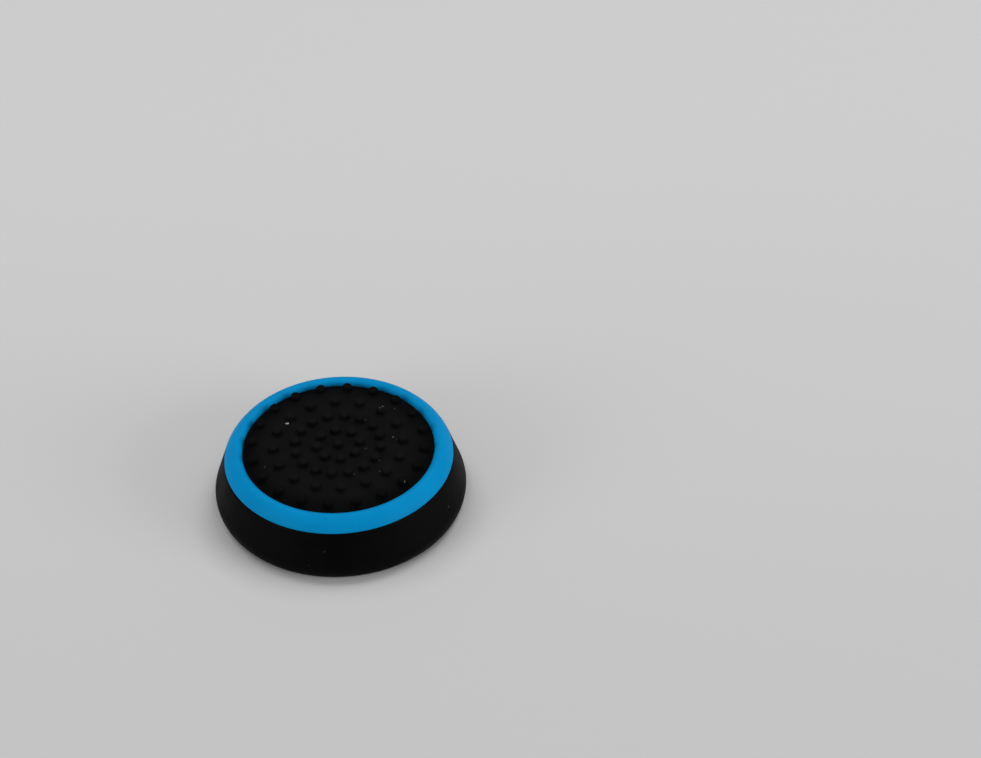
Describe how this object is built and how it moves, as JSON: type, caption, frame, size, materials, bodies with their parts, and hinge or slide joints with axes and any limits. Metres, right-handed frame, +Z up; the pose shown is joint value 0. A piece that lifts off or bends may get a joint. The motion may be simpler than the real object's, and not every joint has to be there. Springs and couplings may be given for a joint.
{
  "type": "controller thumb grip",
  "caption": "Soft round push-on cap for a game controller's stick: studded black top, blue rim, leaning skirt, hollow underside with a grip lip.",
  "frame": {"origin": "centre of the resting rim, on the surface that the cap lies on", "axes": "+Z up out of the studded top; X and Y lie in the plane of the rim, with -Y taken as the near side"},
  "size_m": [0.0226, 0.0226, 0.0066],
  "materials": {
    "black_silicone": "matte moulded silicone",
    "blue_silicone": "smooth matte silicone"
  },
  "bodies": {
    "root": {"cap_body": "black_silicone", "colour_band": "blue_silicone"}
  },
  "joints": []
}
